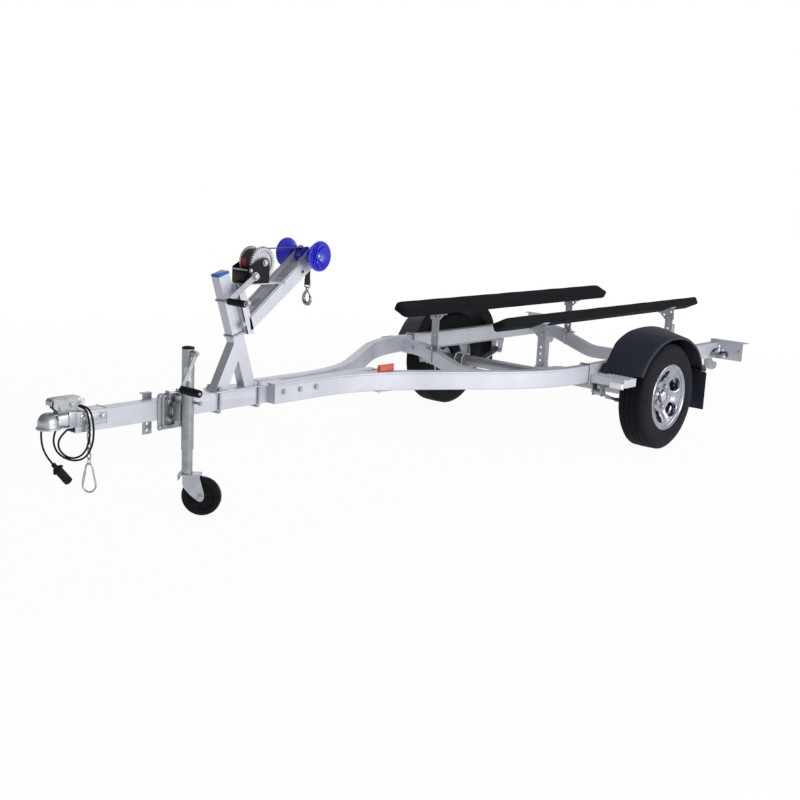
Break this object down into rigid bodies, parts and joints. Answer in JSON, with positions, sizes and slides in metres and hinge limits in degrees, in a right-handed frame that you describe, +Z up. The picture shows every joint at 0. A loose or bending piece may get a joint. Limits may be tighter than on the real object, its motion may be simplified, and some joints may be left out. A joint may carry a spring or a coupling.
{
  "type": "boat trailer",
  "caption": "Single-axle jet-ski trailer with bent aluminium rails, black bunks, hand winch post with bow roller, ball coupler and side jockey wheel.",
  "frame": {"origin": "on the floor, at the middle of the trailer's length and width", "axes": "+X forwards to the coupler, +Y to the trailer's left, +Z up"},
  "size_m": [4.474, 1.696, 1.113],
  "materials": {
    "aluminium_channel": "mill",
    "galvanised": "hot-dip galvanised",
    "zinc_steel": "zinc plated",
    "tyre": "matt",
    "alloy": "machined",
    "black_plastic": "satin",
    "bunk_black": "satin",
    "roller_blue": "satin",
    "jockey_tyre": "matt",
    "webbing": "woven",
    "cable_black": "matt",
    "plug_black": "matt",
    "black_paint": "gloss",
    "amber_lens": "gloss",
    "white_lens": "gloss"
  },
  "bodies": {
    "frame": {"rail_left": "aluminium_channel", "rail_right": "aluminium_channel", "drawbar": "aluminium_channel", "crossmember_front": "aluminium_channel", "crossmember_rear": "aluminium_channel", "tail_panels": "aluminium_channel", "guard_brackets_left": "aluminium_channel", "guard_brackets_right": "aluminium_channel", "winch_post": "aluminium_channel", "winch_carrier": "aluminium_channel", "axle_beam": "galvanised", "leaf_spring_left": "galvanised", "leaf_spring_right": "galvanised", "spring_mounts": "galvanised", "bunk_bracket_front_left": "galvanised", "bunk_bracket_front_right": "galvanised", "bunk_bracket_rear_left": "galvanised", "bunk_bracket_rear_right": "galvanised", "drawbar_clip": "galvanised", "jockey_bracket": "galvanised", "coupler": "zinc_steel", "coupler_latch": "zinc_steel", "safety_chain": "zinc_steel", "mudguard_left": "black_plastic", "mudguard_right": "black_plastic", "bunk_left": "bunk_black", "bunk_right": "bunk_black", "winch_strap": "webbing", "trailer_cable": "cable_black", "trailer_plug": "plug_black", "winch_frame": "black_paint", "side_lamp": "amber_lens", "step_lamps": "white_lens"},
    "wheel_left": {"tyre_left": "tyre", "rim_left": "alloy"},
    "wheel_right": {"tyre_right": "tyre", "rim_right": "alloy"},
    "jockey_leg": {"jockey_outer_tube": "zinc_steel"},
    "jockey_ram": {"jockey_inner_tube": "zinc_steel"},
    "jockey_castor": {"jockey_fork": "galvanised"},
    "jockey_roller": {"jockey_wheel": "jockey_tyre"},
    "jockey_handle": {"jockey_crank": "zinc_steel"},
    "winch_handle": {"winch_crank": "zinc_steel"},
    "winch_spool": {"winch_drum": "zinc_steel"},
    "keel_roller": {"bow_roller": "roller_blue"}
  },
  "joints": [
    {"name": "wheel_left_spin", "type": "hinge", "parent": "frame", "child": "wheel_left", "pos_m": [-1.097, 0.755, 0.29], "axis": [0, 1, 0], "continuous": true},
    {"name": "wheel_right_spin", "type": "hinge", "parent": "frame", "child": "wheel_right", "pos_m": [-1.097, -0.755, 0.29], "axis": [0, 1, 0], "continuous": true},
    {"name": "jockey_swing", "type": "hinge", "parent": "frame", "child": "jockey_leg", "pos_m": [1.621, 0.031, 0.43], "axis": [0, 1, 0], "range_deg": [0, 90]},
    {"name": "jockey_height", "type": "slide", "parent": "jockey_leg", "child": "jockey_ram", "axis": [0, 0, 1], "range_m": [0, 0.095]},
    {"name": "jockey_castor_turn", "type": "hinge", "parent": "jockey_ram", "child": "jockey_castor", "pos_m": [1.621, 0.112, 0.174], "axis": [0, 0, 1], "range_deg": [-70, 50]},
    {"name": "jockey_wheel_spin", "type": "hinge", "parent": "jockey_castor", "child": "jockey_roller", "pos_m": [1.58098, 0.15804, 0.0825], "axis": [-0.7547, -0.6561, 0], "continuous": true},
    {"name": "jockey_crank_turn", "type": "hinge", "parent": "jockey_leg", "child": "jockey_handle", "pos_m": [1.621, 0.1555, 0.68], "axis": [0, 1, 0], "continuous": true},
    {"name": "winch_crank_turn", "type": "hinge", "parent": "frame", "child": "winch_handle", "pos_m": [1.235, 0.05, 0.966], "axis": [0, 1, 0], "continuous": true},
    {"name": "winch_drum_turn", "type": "hinge", "parent": "frame", "child": "winch_spool", "pos_m": [1.165, 0, 1.02], "axis": [0, 1, 0], "continuous": true},
    {"name": "bow_roller_spin", "type": "hinge", "parent": "frame", "child": "keel_roller", "pos_m": [0.888, 0, 1.045], "axis": [0, 1, 0], "continuous": true}
  ],
  "couplings": [
    {"joint": "winch_crank_turn", "follows": "winch_drum_turn", "ratio": -4}
  ]
}
